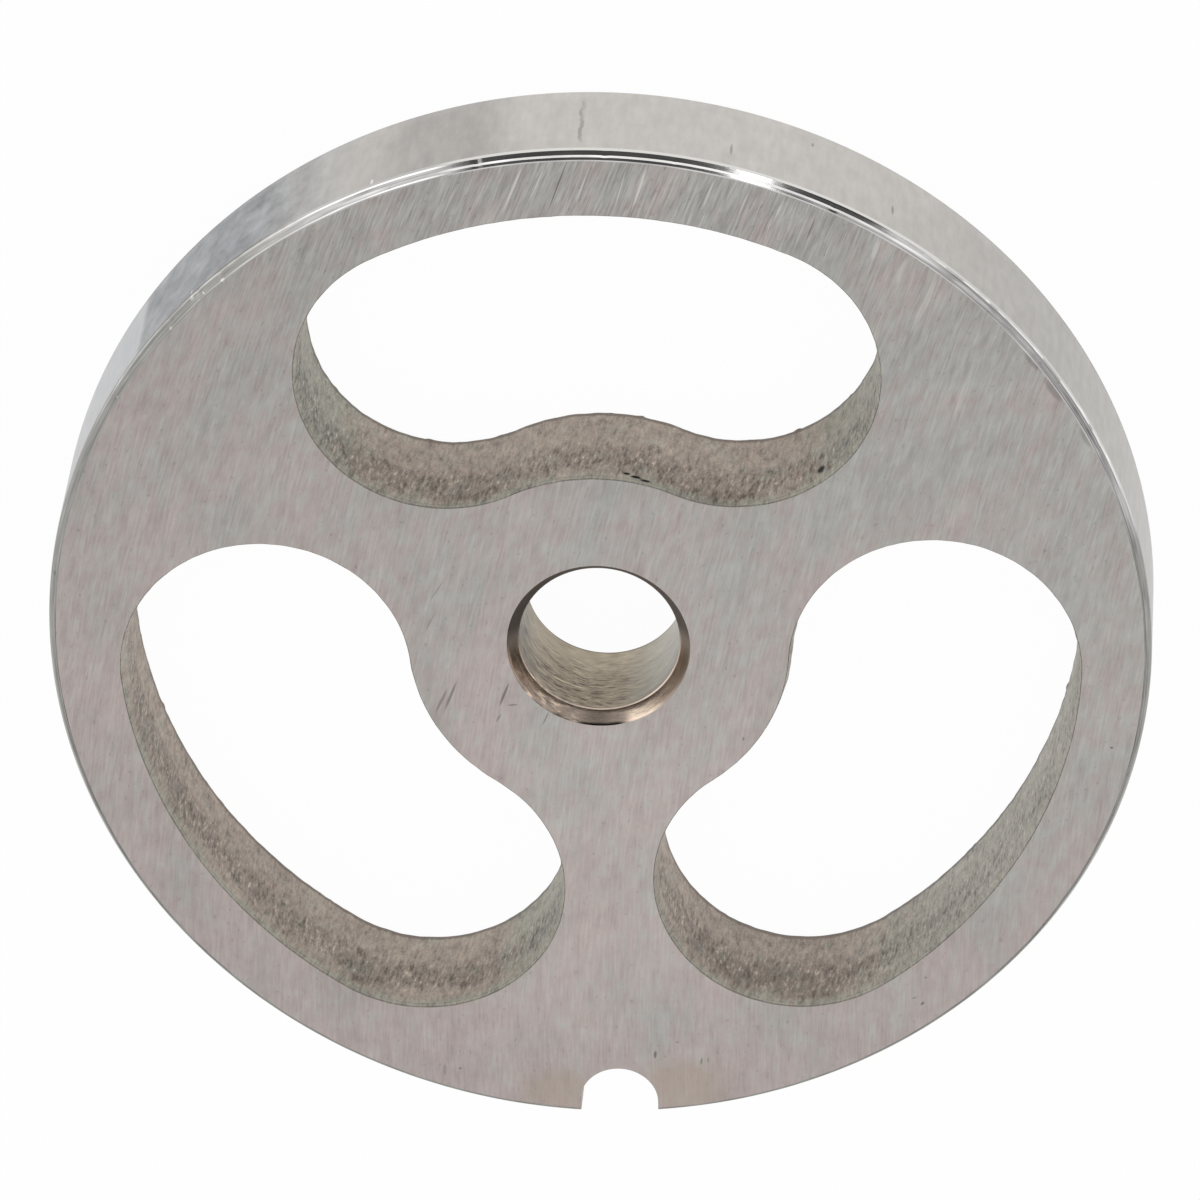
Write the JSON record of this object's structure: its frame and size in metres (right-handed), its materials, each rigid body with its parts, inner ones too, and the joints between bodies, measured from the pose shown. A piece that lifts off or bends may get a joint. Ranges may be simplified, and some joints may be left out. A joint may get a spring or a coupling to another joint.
{
  "type": "meat grinder plate",
  "caption": "Flat round steel grinder plate with kidney-shaped windows round a bored hub, a bevelled rim and a locating notch, for coarse mincing or sausage stuffing.",
  "frame": {"origin": "centre of the bore in the plate's flat back face, which it lies on", "axes": "+Z along the bore towards the bevelled working face, -Y through the locating notch"},
  "size_m": [0.082, 0.0819, 0.0099],
  "materials": {
    "steel": "ground faces, turned rim, rough window walls"
  },
  "bodies": {
    "root": {"kidney_plate": "steel"}
  },
  "joints": []
}
